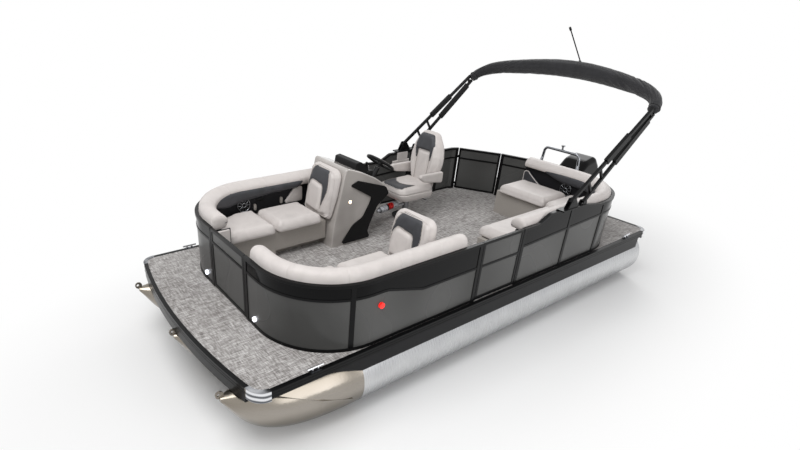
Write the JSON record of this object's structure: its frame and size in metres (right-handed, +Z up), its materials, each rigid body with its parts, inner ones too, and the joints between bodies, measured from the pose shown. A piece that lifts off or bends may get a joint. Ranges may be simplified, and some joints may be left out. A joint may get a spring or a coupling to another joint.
{
  "type": "pontoon boat",
  "caption": "Pontoon boat on three aluminium tubes with a fenced deck, wrap-round lounges, a helm, a folded canopy and a tilted outboard.",
  "frame": {"origin": "middle of the boat's overall box, at the bottom of the tubes", "axes": "+X towards the bow, +Y to port, +Z up"},
  "size_m": [6.891, 2.6438, 3.048],
  "materials": {
    "tube_aluminium": "brushed",
    "nose_aluminium": "satin",
    "deck_board": "plywood",
    "woven_vinyl": "woven",
    "rail_black": "satin",
    "polished_casting": "polished",
    "skirt_aluminium": "satin",
    "fence_black": "satin",
    "panel_charcoal": "satin",
    "band_gloss_black": "gloss",
    "moulded_charcoal": "matte",
    "vinyl_light": "soft vinyl",
    "moulded_light": "textured",
    "console_gloss": "gloss",
    "trim_black": "satin",
    "wheel_black": "soft",
    "bright_metal": "bright",
    "canopy_black": "satin",
    "canopy_cloth": "woven",
    "stainless": "polished",
    "motor_black": "satin",
    "cowl_gloss": "gloss",
    "lamp_red": "gloss",
    "lamp_clear": "gloss",
    "extinguisher_red": "gloss"
  },
  "bodies": {
    "hull and deck": {"tubes": "tube_aluminium", "nose_cones": "nose_aluminium", "cross_members": "tube_aluminium", "deck": "deck_board", "flooring": "woven_vinyl", "rub_rails": "rail_black", "corner_castings": "polished_casting", "side_skirts": "skirt_aluminium", "fence_starboard": "fence_black", "fence_bow_port": "fence_black", "fence_aft_port": "fence_black", "fence_panels": "panel_charcoal", "fence_bands": "band_gloss_black", "coaming_bow": "moulded_charcoal", "coaming_aft": "moulded_charcoal", "bolsters_bow": "vinyl_light", "bolster_aft": "vinyl_light", "seat_bases_bow": "moulded_light", "seat_base_aft": "moulded_light", "corner_cushions": "vinyl_light", "console": "console_gloss", "console_side_panel": "trim_black", "backrests_bow": "vinyl_light", "dash_hood": "trim_black", "chair_pedestal": "bright_metal", "canopy_mounts": "canopy_black", "tow_hoop": "stainless", "cleats": "stainless", "motor_clamp": "motor_black", "motor_pod": "tube_aluminium", "side_lights": "lamp_red", "docking_lights": "lamp_clear", "helm_side_pad": "vinyl_light", "extinguisher": "extinguisher_red"},
    "bow gate": {"bow_gate_frame": "fence_black", "bow_gate_panels": "panel_charcoal"},
    "port gate": {"port_gate_frame": "fence_black", "port_gate_panels": "panel_charcoal"},
    "stern gate": {"stern_gate_frame": "fence_black", "stern_gate_panels": "panel_charcoal"},
    "bow port seat lid": {"seat_lid_bow_port": "vinyl_light"},
    "bow starboard seat lid": {"seat_lid_bow_starboard": "vinyl_light"},
    "aft port seat lid": {"seat_lid_aft_port": "vinyl_light"},
    "stern seat lid": {"seat_lid_stern": "vinyl_light"},
    "steering wheel": {"steering_wheel": "wheel_black"},
    "helm chair": {"helm_chair": "vinyl_light"},
    "canopy": {"canopy_frame": "canopy_black", "canopy_boot": "canopy_cloth", "light_staff": "bright_metal"},
    "outboard bracket": {"motor_swivel": "motor_black"},
    "outboard": {"motor_leg": "motor_black", "motor_cowl": "cowl_gloss"},
    "propeller": {"propeller": "motor_black"}
  },
  "joints": [
    {"name": "bow gate hinge", "type": "hinge", "parent": "hull and deck", "child": "bow gate", "pos_m": [2.8135, -0.34, 1], "axis": [0, 0, 1], "range_deg": [0, 90]},
    {"name": "port gate hinge", "type": "hinge", "parent": "hull and deck", "child": "port gate", "pos_m": [0.88357, 1.214, 1], "axis": [0, 0, 1], "range_deg": [0, 90]},
    {"name": "stern gate hinge", "type": "hinge", "parent": "hull and deck", "child": "stern gate", "pos_m": [-1.44843, -1.17689, 1], "axis": [0, 0, -1], "range_deg": [0, 90]},
    {"name": "bow port lid hinge", "type": "hinge", "parent": "hull and deck", "child": "bow port seat lid", "pos_m": [1.7365, 1.06, 1.012], "axis": [-1, 0, 0], "range_deg": [0, 50]},
    {"name": "bow starboard lid hinge", "type": "hinge", "parent": "hull and deck", "child": "bow starboard seat lid", "pos_m": [1.7365, -1.06, 1.012], "axis": [1, 0, 0], "range_deg": [0, 50]},
    {"name": "aft port lid hinge", "type": "hinge", "parent": "hull and deck", "child": "aft port seat lid", "pos_m": [-0.4285, 1.06, 1.012], "axis": [-1, 0, 0], "range_deg": [0, 50]},
    {"name": "stern lid hinge", "type": "hinge", "parent": "hull and deck", "child": "stern seat lid", "pos_m": [-1.7215, 0.15, 1.012], "axis": [0, -1, 0], "range_deg": [0, 50]},
    {"name": "chair swivel", "type": "hinge", "parent": "hull and deck", "child": "helm chair", "pos_m": [-0.03871, -0.742, 1.01], "axis": [0, 0, 1], "range_deg": [-95, 95]},
    {"name": "canopy fold", "type": "hinge", "parent": "hull and deck", "child": "canopy", "pos_m": [-0.40065, 0, 1.494], "axis": [0, 1, 0], "range_deg": [0, 70]},
    {"name": "outboard tilt", "type": "hinge", "parent": "hull and deck", "child": "outboard bracket", "pos_m": [-2.6715, 0, 0.78], "axis": [0, 1, 0], "range_deg": [-22, 43]},
    {"name": "outboard steer", "type": "hinge", "parent": "outboard bracket", "child": "outboard", "pos_m": [-2.81058, 0, 0.83619], "axis": [0.3746, 0, 0.9272], "range_deg": [-30, 30]},
    {"name": "propeller spin", "type": "hinge", "parent": "outboard", "child": "propeller", "pos_m": [-3.34738, 0, 0.26035], "axis": [0.9272, 0, -0.3746], "continuous": true},
    {"name": "helm wheel turn", "type": "hinge", "parent": "hull and deck", "child": "steering wheel", "pos_m": [0.41449, -0.79, 1.47985], "axis": [-0.5592, 0, 0.829], "range_deg": [-720, 720]}
  ],
  "couplings": [
    {"joint": "helm wheel turn", "follows": "outboard steer", "ratio": 24}
  ]
}
